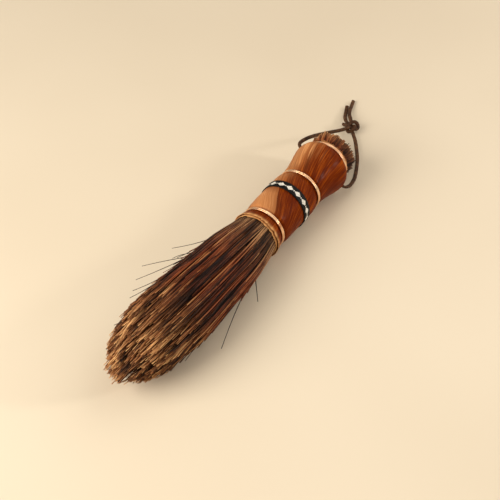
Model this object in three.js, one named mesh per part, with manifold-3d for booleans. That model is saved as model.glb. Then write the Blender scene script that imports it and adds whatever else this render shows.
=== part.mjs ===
// Hand-tied pastry brush: a bundle of stiff plant fibre wrapped in varnished bark, bound with copper
// wire and hung from a lace. Millimetres, +Z up. X runs along the handle from bristles to butt, and in
// the working frame x = 0 is the middle of the front wire; the last lines move the origin to the
// middle of the resting footprint.
import * as THREE from "three";
import { mergeVertices } from "three/addons/utils/BufferGeometryUtils.js";
import Module from "manifold-3d";

const wasm = await Module();
wasm.setup();

// ---- Driving dimensions ----
const GAP = 0.3; // clearance left between pieces that touch
const AXIS_HEIGHT = 21.6; // the handle rests on its pommel bulge
const BARK_THICKNESS = 0.9;
const SEAM_ANGLE = 62; // degrees from +Y towards +Z, where the outer bark closes
const SEAM_WIDTH = 2; // degrees
const OUTER_BARK_SEGMENTS = 32;
const INNER_BARK_SEGMENTS = 24;

const HANK_COUNT = 8;
const HEAD_HANK_SEGMENTS = 4; // facets across one hank
const ROOT_HANK_SEGMENTS = 2;
const CORE_SEGMENTS = 12;
const CORE_SHARE = 0.5; // the core hank's share of the bundle's radius

const PIVOT_X = 2; // the bristles bend about the mouth of the sheath
const ROOT_BALL = 22.2; // the fixed fibres end on this sphere about the pivot
const HEAD_SOCKET = 23.6; // and the bending ones start on this one
const HEAD_RISE = 0.037; // slope at which the resting head lifts off the handle's line
const HEAD_SWAY = 0.012; // slope at which it leans to the left
const HEAD_STRAIGHT = 20; // the head follows the handle's line as far as this from the wire
const HEAD_EASING = 15;

const WIRE_RADIUS = 0.45;
const WIRE_PITCH = 1.0;
const WIRE_TURNS = 2;
const WIRE_CHORD_ROOM = 0.15; // the straight facets of a turn cut inside its circle
const WIRE_SEAT_RADIUS = 16.2; // bark radius under the wire
const WIRE_SEAT_HALF = 2.2;
const WIRE_PLACES = { front_wire: 0, middle_wire: 48.3, rear_wire: 86.8 };

const LABEL_START = 25.2;
const LABEL_END = 32.6;
const LABEL_THICKNESS = 0.3;
const LABEL_LAP_ANGLE = 250;

const TIE_PLACES = { inner_tie_front: 17, inner_tie_rear: 64.5 };
const TIE_RADIUS = 0.6;
const TIE_SEAT_DEPTH = 2.4;
const TIE_SEAT_HALF = 2.4;

const CORD_RADIUS = 1.3;
const CORD_SIDES = 8;
const CORD_STEP = 6.5; // length of one straight facet of the cord
const HOLE_X = 79.5;
const HOLE_RADIUS = 2.4;
const HOLE_TILT = 28; // degrees, the left end of the cross hole is the high one
const LOOP_DROP = 16.5; // degrees, how far the loop leans down to reach the table
const LOOP_EXIT = 19.5; // distance from the handle's axis at which each branch starts

// Outer surface of the bark as [x, radius], from the flared mouth to the rear lip.
const SHEATH_PROFILE = [
  [-9.3, 19.0],
  [-6, 18.2],
  [-3.2, 17.4],
  ...wireSeat(WIRE_PLACES.front_wire),
  [3.6, 17.5],
  [9, 18.0],
  [25, 18.2],
  [37.5, 18.3],
  [43, 17.9],
  ...wireSeat(WIRE_PLACES.middle_wire),
  [52, 17.1],
  [57.5, 17.7],
  [62, 18.5],
  [67, 19.5],
  [73, 20.9],
  [78.3, 21.6],
  [82, 20.8],
  ...wireSeat(WIRE_PLACES.rear_wire),
  [90.7, 17.5],
];

// The hidden inner bark and the fibres in it follow the outer surface at fewer places.
const HIDDEN_PLACES = [-9.3, -2.2, 2.2, 9, 37.5, 46.1, 50.5, 57.5, 62, 67, 78.3, 82, 84.6, 89, 90.7];

// Cut fibre ends standing out of the rear of the bark, as [x, radius].
const BUTT_PROFILE = [
  [91.2, 15.7],
  [93.6, 18.0],
  [96, 18.3],
  [99.2, 16.7],
  [101.6, 12.4],
  [102.9, 7.6],
];
const BUTT_END_X = 103.5;
const ROOT_MOUTH_RADIUS = 16.6;

// Bristle head as [x, radius], from near the mouth to the tip.
const HEAD_PROFILE = [
  [-23, 19.9],
  [-37, 22.4],
  [-50, 23.6],
  [-75, 24.5],
  [-92, 25.1],
  [-104, 24.9],
  [-118, 23.3],
  [-131, 21.4],
  [-141, 19.3],
  [-150, 15.9],
  [-158, 10.6],
];
const HEAD_END_X = -164;
const HEAD_MOUTH_RADIUS = 18.6;

// The loop's two branches in its own plane, as [along the loop, across it], from hole to knot.
const LEFT_BRANCH = [
  [0, LOOP_EXIT],
  [0.1, 20.7],
  [0.6, 22.1],
  [1.8, 23.4],
  [4, 24.1],
  [7.5, 24.2],
  [12, 23.7],
  [17, 22.9],
  [24, 21.2],
  [33, 18.4],
  [45.5, 14.2],
  [58, 9.8],
  [67.8, 7.0],
];
const RIGHT_BRANCH = [
  [0, -LOOP_EXIT],
  [0.1, -20.6],
  [0.8, -22.2],
  [2.2, -23.8],
  [4.8, -25.0],
  [9, -25.6],
  [15, -25.3],
  [21.5, -24.2],
  [31.3, -21.2],
  [43.5, -16.4],
  [54, -10.7],
  [63, -4.8],
  [68.7, 0.2],
];
// Knot and tails in the working frame.
const KNOT_CENTRE = [151.3, 14.8, 5.4];
const KNOT_HALF_SIZE = [6.8, 4.8, 4.7];
const KNOT_TURN = -56; // degrees about Z, the knot lies across the loop
const LONG_TAIL = [
  [156.5, 17.7, 5.5],
  [160.3, 20.6, 5.3],
  [165, 24.2, 4.6],
  [171, 27.2, 3.2],
  [178, 29.8, 2.0],
  [185.7, 32.3, 1.6],
];
const SHORT_TAIL = [
  [154.3, 19.9, 4.9],
  [157.4, 23.2, 4.1],
  [162.8, 26.9, 2.5],
  [169.5, 29.9, 1.7],
  [176.5, 33.0, 1.6],
];

const radians = THREE.MathUtils.degToRad;

function wireSeat(x) {
  return [
    [x - WIRE_SEAT_HALF, WIRE_SEAT_RADIUS],
    [x + WIRE_SEAT_HALF, WIRE_SEAT_RADIUS],
  ];
}

// Radius of the outer bark at any x, straight between the profile's points.
function sheathRadiusAt(x) {
  const after = Math.max(1, SHEATH_PROFILE.findIndex(([stationX]) => stationX >= x));
  const [x0, r0] = SHEATH_PROFILE[after - 1];
  const [x1, r1] = SHEATH_PROFILE[after];
  return r0 + ((r1 - r0) * (x - x0)) / (x1 - x0);
}

// The bundle fills the bark's two layers.
const rootRadiusAt = (x) => sheathRadiusAt(x) - 2 * (BARK_THICKNESS + GAP);

function tieSeat(x) {
  return [
    [x - TIE_SEAT_HALF, rootRadiusAt(x - TIE_SEAT_HALF)],
    [x, rootRadiusAt(x) - TIE_SEAT_DEPTH],
    [x + TIE_SEAT_HALF, rootRadiusAt(x + TIE_SEAT_HALF)],
  ];
}

// Fibre bundle inside the bark and out of its rear end, as [x, radius].
const ROOT_PROFILE = [
  ...HIDDEN_PLACES.map((x) => [x, rootRadiusAt(x)]),
  ...Object.values(TIE_PLACES).flatMap(tieSeat),
  ...BUTT_PROFILE,
].sort((a, b) => a[0] - b[0]);

// ---- Shape builders ----

// A point at a radius and angle about the line through (x, centre).
function around(x, radius, angle, centre) {
  const z = centre.z + radius * Math.sin(angle);
  return [x, centre.y + radius * Math.cos(angle), Math.max(z, 0)];
}

function meshFrom(points, triangles) {
  const geometry = new THREE.BufferGeometry();
  geometry.setAttribute("position", new THREE.Float32BufferAttribute(points.flat(), 3));
  geometry.setIndex(triangles.flat());
  geometry.computeVertexNormals();
  return geometry;
}

// Side faces between consecutive rings of `count` points, with x growing from ring to ring.
function sideFaces(ringTotal, count) {
  const faces = [];
  for (let ring = 0; ring < ringTotal - 1; ring += 1) {
    for (let i = 0; i < count; i += 1) {
      const next = (i + 1) % count;
      const low = ring * count;
      const high = low + count;
      faces.push([low + i, low + next, high + next], [low + i, high + next, high + i]);
    }
  }
  return faces;
}

// Closed solid between an inner and an outer surface over part of a turn. Each station holds the
// outer point (x, r) and the inner point (xi, ri); `trim` is kept free at both ends of the turn.
function sectorSolid(stations, startAngle, endAngle, segments, trim, centreOf) {
  const points = [];
  for (const station of stations) {
    for (const [x, radius, outward] of [
      [station.x, station.r, true],
      [station.xi, station.ri, false],
    ]) {
      const edge = Math.asin(trim / radius);
      const arc = endAngle - startAngle - 2 * edge;
      for (let i = 0; i <= segments; i += 1) {
        const share = (outward ? i : segments - i) / segments;
        points.push(around(x, radius, startAngle + edge + arc * share, centreOf(x)));
      }
    }
  }
  const count = 2 * (segments + 1);
  const triangles = sideFaces(stations.length, count);
  const last = (stations.length - 1) * count;
  for (let i = 0; i < segments; i += 1) {
    const inner = count - 1 - i;
    triangles.push([i, inner, inner - 1], [i, inner - 1, i + 1]);
    triangles.push([last + i, last + i + 1, last + inner - 1], [last + i, last + inner - 1, last + inner]);
  }
  return meshFrom(points, triangles);
}

// Closed round solid through [x, radius] stations, with a point on the axis at each end.
function roundSolid(startX, stations, endX, segments, centreOf) {
  const points = [];
  for (const [x, radius] of stations) {
    for (let i = 0; i < segments; i += 1) {
      points.push(around(x, radius, (2 * Math.PI * i) / segments, centreOf(x)));
    }
  }
  const triangles = sideFaces(stations.length, segments);
  const startHub = points.push(around(startX, 0, 0, centreOf(startX))) - 1;
  const endHub = points.push(around(endX, 0, 0, centreOf(endX))) - 1;
  const last = (stations.length - 1) * segments;
  for (let i = 0; i < segments; i += 1) {
    const next = (i + 1) % segments;
    triangles.push([startHub, next, i], [endHub, last + i, last + next]);
  }
  return meshFrom(points, triangles);
}

// Round bar along a curve, with flat ends.
function barAlong(curve, radius, sides, steps) {
  const corners = [];
  for (let i = 0; i < sides; i += 1) {
    const angle = (2 * Math.PI * i) / sides;
    corners.push(new THREE.Vector2(radius * Math.cos(angle), radius * Math.sin(angle)));
  }
  return new THREE.ExtrudeGeometry(new THREE.Shape(corners), { steps, extrudePath: curve });
}

function toManifold(source) {
  const geometry = source.clone();
  geometry.deleteAttribute("normal");
  geometry.deleteAttribute("uv");
  const merged = mergeVertices(geometry, 1e-4);
  const vertProperties = new Float32Array(merged.attributes.position.array);
  const triVerts = new Uint32Array(merged.index.array);
  return new wasm.Manifold(new wasm.Mesh({ numProp: 3, vertProperties, triVerts }));
}

function fromManifold(solid) {
  const mesh = solid.getMesh();
  const geometry = new THREE.BufferGeometry();
  geometry.setAttribute("position", new THREE.BufferAttribute(mesh.vertProperties, 3));
  geometry.setIndex(new THREE.BufferAttribute(mesh.triVerts, 1));
  return geometry;
}

// ---- Where things lie ----

const handleLine = () => ({ y: 0, z: AXIS_HEIGHT });

// The resting head bends away from the handle's line: up off its belly and a little to the left.
function headLine(x) {
  const distance = Math.max(0, -x - HEAD_STRAIGHT);
  const bend = distance ** 2 / (distance + HEAD_EASING);
  return { y: HEAD_SWAY * bend, z: AXIS_HEIGHT + HEAD_RISE * bend };
}

// x at which a sphere about the pivot has this radius about the axis, on the bristle side.
function ballX(ballRadius, radius) {
  return PIVOT_X - Math.sqrt(ballRadius ** 2 - radius ** 2);
}

const holeDirection = new THREE.Vector3(0, Math.cos(radians(HOLE_TILT)), Math.sin(radians(HOLE_TILT)));
const holeCentre = new THREE.Vector3(HOLE_X, 0, AXIS_HEIGHT);
const loopDirection = new THREE.Vector3(1, 0, 0).applyAxisAngle(holeDirection, radians(LOOP_DROP));

function loopPoint([along, across]) {
  const point = holeCentre.clone().addScaledVector(loopDirection, along);
  return point.addScaledVector(holeDirection, across);
}

const holeCutter = toManifold(
  new THREE.CylinderGeometry(HOLE_RADIUS, HOLE_RADIUS, 60, 10)
    .rotateX(radians(HOLE_TILT))
    .translate(HOLE_X, 0, AXIS_HEIGHT),
);

const withCrossHole = (geometry) => fromManifold(toManifold(geometry).subtract(holeCutter));

// ---- Fibre bundle ----

// Stations of a bundle whose hanks fill the ring outside the core.
function hankStations(mouthRadius, ballRadius, profile) {
  const ring = (x, r) => ({ x, r, xi: x, ri: CORE_SHARE * r });
  const inner = CORE_SHARE * mouthRadius;
  const mouth = { x: ballX(ballRadius, mouthRadius), r: mouthRadius, xi: ballX(ballRadius, inner), ri: inner };
  const stations = [mouth, ...profile.map(([x, r]) => ring(x, r))];
  return stations.sort((a, b) => a.x - b.x);
}

function hankGeometry(index, stations, segments, lineOf) {
  const width = (2 * Math.PI) / HANK_COUNT;
  const start = -Math.PI / 2 + width * (index - 0.5);
  return sectorSolid(stations, start, start + width, segments, GAP / 2, lineOf);
}

function coreRadii(profile) {
  return profile.map(([x, r]) => [x, CORE_SHARE * r - GAP]);
}

function rootCoreGeometry() {
  const radius = CORE_SHARE * ROOT_MOUTH_RADIUS - GAP;
  const stations = [[ballX(ROOT_BALL, radius), radius], ...coreRadii(ROOT_PROFILE)];
  return roundSolid(ballX(ROOT_BALL, 0), stations, BUTT_END_X, CORE_SEGMENTS, handleLine);
}

function headCoreGeometry() {
  const radius = CORE_SHARE * HEAD_MOUTH_RADIUS - GAP;
  const stations = [...coreRadii(HEAD_PROFILE).reverse(), [ballX(HEAD_SOCKET, radius), radius]];
  return roundSolid(HEAD_END_X, stations, ballX(HEAD_SOCKET, 0), CORE_SEGMENTS, headLine);
}

// ---- Handle pieces ----

// A full turn about the handle, apart from a narrow seam.
function openRing(stations, seamAngle, segments) {
  const start = radians(seamAngle + SEAM_WIDTH / 2);
  return sectorSolid(stations, start, start + radians(360 - SEAM_WIDTH), segments, 0, handleLine);
}

// One bark layer lying `depth` under the outer surface, open along its seam.
function barkGeometry(places, depth, seamAngle, segments) {
  const stations = places.map((x) => {
    const outer = sheathRadiusAt(x) - depth;
    return { x, r: outer, xi: x, ri: outer - BARK_THICKNESS };
  });
  return openRing(stations, seamAngle, segments);
}

function labelGeometry() {
  const stations = [LABEL_START, LABEL_END].map((x) => {
    const ri = sheathRadiusAt(x) + GAP;
    return { x, r: ri + LABEL_THICKNESS, xi: x, ri };
  });
  return openRing(stations, LABEL_LAP_ANGLE, OUTER_BARK_SEGMENTS);
}

class WireHelix extends THREE.Curve {
  constructor(x) {
    super();
    this.x = x;
  }

  getPoint(t) {
    const angle = 2 * Math.PI * WIRE_TURNS * t - Math.PI / 2;
    const radius = WIRE_SEAT_RADIUS + GAP + WIRE_RADIUS + WIRE_CHORD_ROOM;
    const x = this.x + WIRE_PITCH * WIRE_TURNS * (t - 0.5);
    return new THREE.Vector3(x, radius * Math.cos(angle), AXIS_HEIGHT + radius * Math.sin(angle));
  }
}

function tieGeometry(x) {
  const ringRadius = rootRadiusAt(x) - TIE_RADIUS;
  const geometry = new THREE.TorusGeometry(ringRadius, TIE_RADIUS, 6, 24);
  return geometry.rotateY(Math.PI / 2).translate(x, 0, AXIS_HEIGHT);
}

// ---- Hanging cord ----

function cordGeometry(points) {
  const curve = new THREE.CatmullRomCurve3(points, false, "centripetal");
  const steps = Math.ceil(curve.getLength() / CORD_STEP) + 4;
  return barAlong(curve, CORD_RADIUS, CORD_SIDES, steps);
}

const branchGeometry = (branch) => cordGeometry(branch.map(loopPoint));

const tailGeometry = (tail) => cordGeometry(tail.map((point) => new THREE.Vector3(...point)));

function throughGeometry() {
  const length = 2 * (LOOP_EXIT - GAP);
  return new THREE.CylinderGeometry(CORD_RADIUS, CORD_RADIUS, length, CORD_SIDES)
    .rotateX(radians(HOLE_TILT))
    .translate(HOLE_X, 0, AXIS_HEIGHT);
}

function knotGeometry() {
  return new THREE.SphereGeometry(1, 12, 8)
    .scale(...KNOT_HALF_SIZE)
    .rotateZ(radians(KNOT_TURN))
    .translate(...KNOT_CENTRE);
}

// ---- Materials ----

const FINISHES = {
  bristle: { color: 0x4a2a18, roughness: 0.8, metalness: 0 },
  root: { color: 0x3a2417, roughness: 0.9, metalness: 0 },
  bark: { color: 0x9a4f16, roughness: 0.25, metalness: 0 },
  innerBark: { color: 0xb06a2c, roughness: 0.6, metalness: 0 },
  copper: { color: 0xd89a6a, roughness: 0.25, metalness: 1 },
  paper: { color: 0x0c0c0e, roughness: 0.45, metalness: 0 },
  twine: { color: 0xa88a5a, roughness: 0.9, metalness: 0 },
  lace: { color: 0x3a2216, roughness: 0.7, metalness: 0 },
};

const brush = new THREE.Group();
const cordPieces = new Set();

function addPiece(name, geometry, finish) {
  const mesh = new THREE.Mesh(geometry, new THREE.MeshStandardMaterial(FINISHES[finish]));
  mesh.name = name;
  brush.add(mesh);
  return mesh;
}

const headStations = hankStations(HEAD_MOUTH_RADIUS, HEAD_SOCKET, HEAD_PROFILE);
const rootStations = hankStations(ROOT_MOUTH_RADIUS, ROOT_BALL, ROOT_PROFILE);
for (let index = 0; index < HANK_COUNT; index += 1) {
  const head = hankGeometry(index, headStations, HEAD_HANK_SEGMENTS, headLine);
  const root = hankGeometry(index, rootStations, ROOT_HANK_SEGMENTS, handleLine);
  addPiece(`bristle_hank_${index + 1}`, head, "bristle");
  addPiece(`root_hank_${index + 1}`, withCrossHole(root), "root");
}
addPiece("bristle_core", headCoreGeometry(), "bristle");
addPiece("root_core", withCrossHole(rootCoreGeometry()), "root");
for (const [name, x] of Object.entries(TIE_PLACES)) addPiece(name, tieGeometry(x), "twine");
const outerPlaces = SHEATH_PROFILE.map(([x]) => x);
const outerBark = barkGeometry(outerPlaces, 0, SEAM_ANGLE, OUTER_BARK_SEGMENTS);
const innerDepth = BARK_THICKNESS + GAP;
const innerBark = barkGeometry(HIDDEN_PLACES, innerDepth, SEAM_ANGLE + 180, INNER_BARK_SEGMENTS);
addPiece("bark_outer", withCrossHole(outerBark), "bark");
addPiece("bark_inner", withCrossHole(innerBark), "innerBark");
for (const [name, x] of Object.entries(WIRE_PLACES)) {
  addPiece(name, barAlong(new WireHelix(x), WIRE_RADIUS, 6, 24 * WIRE_TURNS), "copper");
}
addPiece("label_band", labelGeometry(), "paper");

const cordGeometries = {
  cord_through: throughGeometry(),
  cord_left: branchGeometry(LEFT_BRANCH),
  cord_right: branchGeometry(RIGHT_BRANCH),
  cord_knot: knotGeometry(),
  cord_tail_long: tailGeometry(LONG_TAIL),
  cord_tail_short: tailGeometry(SHORT_TAIL),
};
for (const [name, geometry] of Object.entries(cordGeometries)) {
  cordPieces.add(addPiece(name, geometry, "lace"));
}

// The origin is under the middle of the brush's own box, without the cord.
const footprint = new THREE.Box3();
for (const piece of brush.children) {
  if (!cordPieces.has(piece)) footprint.expandByObject(piece, true);
}
const middle = footprint.getCenter(new THREE.Vector3());
brush.position.set(-middle.x, -middle.y, -footprint.min.z);

const pastryBrush = new THREE.Group();
pastryBrush.add(brush);
export default pastryBrush;
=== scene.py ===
import math
from typing import NamedTuple

import bpy
import numpy as np
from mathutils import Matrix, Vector


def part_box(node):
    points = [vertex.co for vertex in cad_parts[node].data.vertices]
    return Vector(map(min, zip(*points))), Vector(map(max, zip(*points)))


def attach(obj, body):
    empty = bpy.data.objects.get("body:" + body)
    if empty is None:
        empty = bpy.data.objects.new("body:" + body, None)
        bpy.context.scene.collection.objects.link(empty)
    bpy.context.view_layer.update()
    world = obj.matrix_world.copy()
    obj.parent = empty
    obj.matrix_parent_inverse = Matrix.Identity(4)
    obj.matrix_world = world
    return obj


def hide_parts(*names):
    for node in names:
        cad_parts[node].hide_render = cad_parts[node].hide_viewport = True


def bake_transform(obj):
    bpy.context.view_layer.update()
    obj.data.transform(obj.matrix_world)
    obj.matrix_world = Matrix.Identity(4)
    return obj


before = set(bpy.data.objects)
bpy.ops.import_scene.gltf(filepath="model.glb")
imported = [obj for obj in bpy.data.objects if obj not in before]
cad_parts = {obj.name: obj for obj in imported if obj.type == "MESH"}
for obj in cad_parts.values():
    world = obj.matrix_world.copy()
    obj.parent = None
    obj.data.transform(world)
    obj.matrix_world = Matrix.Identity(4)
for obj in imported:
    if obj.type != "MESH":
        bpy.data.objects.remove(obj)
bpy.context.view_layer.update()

# The script works in millimetres. x = 0 is the middle of the front wire, x grows from the bristles to
# the butt, the handle's axis is at y = 0, and z = 0 is the table.
MM = 0.001
WIRE_LOW, WIRE_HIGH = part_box("front_wire")
WIRE_CENTRE = (WIRE_LOW + WIRE_HIGH) / 2
SHIFT = np.array([WIRE_CENTRE.x, WIRE_CENTRE.y, 0.0])
AXIS_HEIGHT = WIRE_CENTRE.z / MM
HANK_COUNT = 8
UP = np.array([0.0, 0.0, 1.0])
ALONG = np.array([1.0, 0.0, 0.0])


def new_object(name, data):
    """A new object in the scene."""
    thing = bpy.data.objects.new(name, data)
    bpy.context.scene.collection.objects.link(thing)
    return thing


# ---- Camera ----
CAMERA_AZIMUTH = math.radians(-56)
CAMERA_ELEVATION = math.radians(45.5)
CAMERA_DISTANCE = 0.7854
CAMERA_LENS = 79.2
AIM_RIGHT = -0.0094  # the view's middle, from the front wire's middle
AIM_UP = -0.0159


def view_axes(azimuth, elevation):
    """The view's right, up and backward directions."""
    flat = math.cos(elevation)
    back = Vector((math.sin(azimuth) * flat, -math.cos(azimuth) * flat, math.sin(elevation)))
    right = Vector((math.cos(azimuth), math.sin(azimuth), 0.0))
    return right, back.cross(right), back


def add_camera():
    right, up, back = view_axes(CAMERA_AZIMUTH, CAMERA_ELEVATION)
    camera = new_object("camera", bpy.data.cameras.new("camera"))
    camera.data.lens = CAMERA_LENS
    camera.data.clip_start = 0.01
    camera.location = WIRE_CENTRE + back * CAMERA_DISTANCE + right * AIM_RIGHT + up * AIM_UP
    camera.rotation_euler = back.to_track_quat("Z", "Y").to_euler()
    bpy.context.scene.camera = camera


add_camera()


# ---- Points, curves and meshes ----


def metres(points):
    """This script's millimetres as the frame's metres."""
    return np.asarray(points, float) * MM + SHIFT


def cad_points(node):
    """The CAD node's vertices in this script's millimetres."""
    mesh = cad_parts[node].data
    points = np.empty(len(mesh.vertices) * 3, np.float32)
    mesh.vertices.foreach_get("co", points)
    return (points.reshape(-1, 3) - SHIFT) / MM


def smooth_curve(places, values):
    """A smooth curve through points, which never swings past them."""
    xs, ys = np.asarray(places, float), np.asarray(values, float)
    steps = np.diff(xs)
    rises = np.diff(ys) / steps
    slopes = np.zeros(len(xs))
    before, after = rises[:-1], rises[1:]
    same_way = before * after > 0
    slopes[1:-1][same_way] = (2 * before * after / (before + after + 1e-12))[same_way]
    slopes[0], slopes[-1] = rises[0], rises[-1]

    def curve(x):
        x = np.clip(x, xs[0], xs[-1])
        i = np.clip(np.searchsorted(xs, x) - 1, 0, len(steps) - 1)
        t = (x - xs[i]) / steps[i]
        start_pull = t * (1 - t) ** 2 * steps[i] * slopes[i]
        end_pull = t * t * (t - 1) * steps[i] * slopes[i + 1]
        return ys[i] + eased(t) * (ys[i + 1] - ys[i]) + start_pull + end_pull

    return curve


def rings_of(node, smallest):
    """The CAD node's vertices grouped by their place along x, where at least `smallest` share one."""
    points = cad_points(node)
    places = np.round(points[:, 0], 1)
    groups = [points[places == x] for x in np.unique(places)]
    return [group for group in groups if len(group) >= smallest]


def eased(share):
    """A share from 0 to 1 that starts and stops gently."""
    return share * share * (3 - 2 * share)


def rise(value, start, width):
    """0 up to `start`, then a straight rise to 1 over `width`."""
    return np.clip((value - start) / width, 0, 1)


def hump(value, middle, width):
    """1 at `middle`, and less and less on both sides of it."""
    return np.exp(-(((value - middle) / width) ** 2))


def unit(vectors):
    return vectors / np.linalg.norm(vectors, axis=-1, keepdims=True)


def stacked(*grids):
    """One grid of points from grids of their coordinates."""
    return np.stack(np.broadcast_arrays(*grids), -1)


def joined(parts):
    """The points and faces of several meshes as those of one."""
    all_points, all_faces, count = [], [], 0
    for points, faces in parts:
        all_faces += [[index + count for index in face] for face in faces]
        all_points.append(points)
        count += len(points)
    return np.vstack(all_points), all_faces


def grid_faces(rows, columns, closed=True):
    """Four-sided faces between rows of points, turned outward for rows that go round x."""
    row, column = np.meshgrid(np.arange(rows - 1), np.arange(columns if closed else columns - 1))
    after = (column + 1) % columns
    corners = [row * columns + column, row * columns + after]
    corners += [(row + 1) * columns + after, (row + 1) * columns + column]
    return np.stack(corners, -1).reshape(-1, 4)


def add_piece(name, points, faces, material, values=None, uv=None):
    """A smooth mesh object. `values` are numbers for each point, `uv` is a pair for each point."""
    mesh = bpy.data.meshes.new(name)
    mesh.from_pydata(metres(points).tolist(), [], faces)
    mesh.polygons.foreach_set("use_smooth", np.ones(len(mesh.polygons), bool))
    for label, numbers in (values or {}).items():
        attribute = mesh.attributes.new(label, "FLOAT", "POINT")
        attribute.data.foreach_set("value", np.asarray(numbers, np.float32).ravel())
    if uv is not None:
        corners = np.empty(len(mesh.loops), np.int32)
        mesh.loops.foreach_get("vertex_index", corners)
        layer = mesh.uv_layers.new(name="UVMap")
        layer.data.foreach_set("uv", np.asarray(uv, np.float32)[corners].ravel())
    mesh.materials.append(material)
    return new_object(name, mesh)


def tubes(lines, radii, sides, hint):
    """Points and faces of closed tubes along many lines at once; `hint` is never along a line."""
    count, rings, _ = lines.shape
    forward = unit(np.gradient(lines, axis=1))
    side = unit(np.cross(forward, hint))
    up = np.cross(forward, side)
    angles = 2 * np.pi * np.arange(sides) / sides
    turn = np.cos(angles)[:, None] * side[:, :, None] + np.sin(angles)[:, None] * up[:, :, None]
    points = lines[:, :, None] + turn * radii[..., None, None]
    one = grid_faces(rings, sides)
    starts = np.arange(count)[:, None, None] * rings * sides
    first = np.arange(sides)[::-1] + starts[:, :, 0]
    last = np.arange(sides) + (rings - 1) * sides + starts[:, :, 0]
    faces = (one[None] + starts).reshape(-1, 4).tolist() + first.tolist() + last.tolist()
    return points.reshape(-1, 3), faces


def catmull_rom(points, per_span):
    """A centripetal curve through the points, as the CAD cord has."""
    points = np.asarray(points, float)
    padded = np.vstack([2 * points[0] - points[1], points, 2 * points[-1] - points[-2]])
    path = []
    for p0, p1, p2, p3 in zip(padded, padded[1:], padded[2:], padded[3:]):
        d0, d1, d2 = (np.sqrt(np.linalg.norm(b - a)) for a, b in ((p0, p1), (p1, p2), (p2, p3)))
        slope1 = ((p1 - p0) / d0 - (p2 - p0) / (d0 + d1) + (p2 - p1) / d1) * d1
        slope2 = ((p2 - p1) / d1 - (p3 - p1) / (d1 + d2) + (p3 - p2) / d2) * d1
        for t in np.arange(per_span) / per_span:
            pull = t * (1 - t) ** 2 * slope1 + t * t * (t - 1) * slope2
            path.append(p1 + eased(t) * (p2 - p1) + pull)
    path.append(points[-1])
    return np.array(path)


def sweep(path, section, hint, rolls=0.0):
    """Points and faces of a closed bar along a path. `rolls` turns its section, in radians."""
    forward = unit(np.gradient(path, axis=0))
    side = np.cross(forward[0], hint)
    sides = []
    for direction in forward:
        side = side - direction * side.dot(direction)
        side = side / np.linalg.norm(side)
        sides.append(side)
    sides = np.array(sides)
    ups = np.cross(forward, sides)
    rolls = np.broadcast_to(rolls, len(path))[:, None]
    wide = np.cos(rolls) * sides + np.sin(rolls) * ups
    thick = np.cos(rolls) * ups - np.sin(rolls) * sides
    points = path[:, None] + section[:, :1] * wide[:, None] + section[:, 1:] * thick[:, None]
    count = len(section)
    faces = grid_faces(len(path), count).tolist()
    faces.append(list(range(count))[::-1])
    faces.append(list(range(count * (len(path) - 1), count * len(path))))
    return points.reshape(-1, 3), faces


SECTION_POINTS = 12


def outline(half_sizes, power, shift=0.0):
    """A bar's section: an oval whose sides are flatter the further `power` is under 1."""
    angles = 2 * np.pi * (np.arange(SECTION_POINTS) + shift) / SECTION_POINTS
    circle = np.column_stack([np.cos(angles), np.sin(angles)])
    return np.sign(circle) * np.abs(circle) ** power * half_sizes


# ---- Materials ----


class Surface:
    """One node material, with short calls for the nodes that this script uses."""

    def __init__(self, name, **settings):
        self.material = bpy.data.materials.new(name)
        self.material.use_nodes = True
        self.tree = self.material.node_tree
        self.shader = self.tree.nodes["Principled BSDF"]
        for socket, value in settings.items():
            self.shader.inputs[socket.replace("_", " ")].default_value = value

    def node(self, kind, inputs=None, **settings):
        node = self.tree.nodes.new(kind)
        for key, value in settings.items():
            setattr(node, key, value)
        for key, value in (inputs or {}).items():
            if isinstance(value, bpy.types.NodeSocket):
                self.tree.links.new(value, node.inputs[key])
            else:
                node.inputs[key].default_value = value
        return node

    def math(self, operation, a, b=0.0):
        return self.node("ShaderNodeMath", {0: a, 1: b}, operation=operation).outputs[0]

    def value(self, label):
        return self.node("ShaderNodeAttribute", attribute_name=label).outputs["Fac"]

    def place(self, scale, source="Object"):
        """Object or UV coordinates, stretched by a scale for each axis."""
        start = self.node("ShaderNodeTexCoord").outputs[source]
        return self.node("ShaderNodeMapping", {"Vector": start, "Scale": scale}).outputs[0]

    def noise(self, place, detail=4.0, roughness=0.55):
        inputs = {"Vector": place, "Scale": 1.0, "Detail": detail, "Roughness": roughness}
        return self.node("ShaderNodeTexNoise", inputs).outputs[0]

    def ramp(self, factor, *stops):
        node = self.node("ShaderNodeValToRGB", {0: factor})
        elements = node.color_ramp.elements
        while len(elements) < len(stops):
            elements.new(0.5)
        for element, (position, colour) in zip(elements, stops):
            element.position = position
            element.color = colour
        return node.outputs[0]

    def mix(self, factor, a, b):
        return self.node("ShaderNodeMix", {0: factor, 6: a, 7: b}, data_type="RGBA").outputs[2]

    def range(self, value, low, high, new_low=0.0, new_high=1.0):
        inputs = {0: value, 1: low, 2: high, 3: new_low, 4: new_high}
        return self.node("ShaderNodeMapRange", inputs).outputs[0]

    def spread(self, noise, low, high):
        """`low` to `high`, from a noise, which mostly stays between 0.3 and 0.7."""
        return self.range(noise, 0.3, 0.7, low, high)

    def finish(self, colour, roughness=None, bump=None, strength=0.3, depth=0.0004):
        self.tree.links.new(colour, self.shader.inputs["Base Color"])
        if roughness is not None:
            self.tree.links.new(roughness, self.shader.inputs["Roughness"])
        if bump is not None:
            inputs = {"Height": bump, "Strength": strength, "Distance": depth}
            normal = self.node("ShaderNodeBump", inputs).outputs[0]
            self.tree.links.new(normal, self.shader.inputs["Normal"])
        return self.material


def shade(red, green, blue):
    """A colour given as 0 to 255 on screen, as the linear numbers and alpha that shaders take."""
    parts = [part / 255 for part in (red, green, blue)]
    return *(p / 12.92 if p <= 0.04045 else ((p + 0.055) / 1.055) ** 2.4 for p in parts), 1.0


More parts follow.
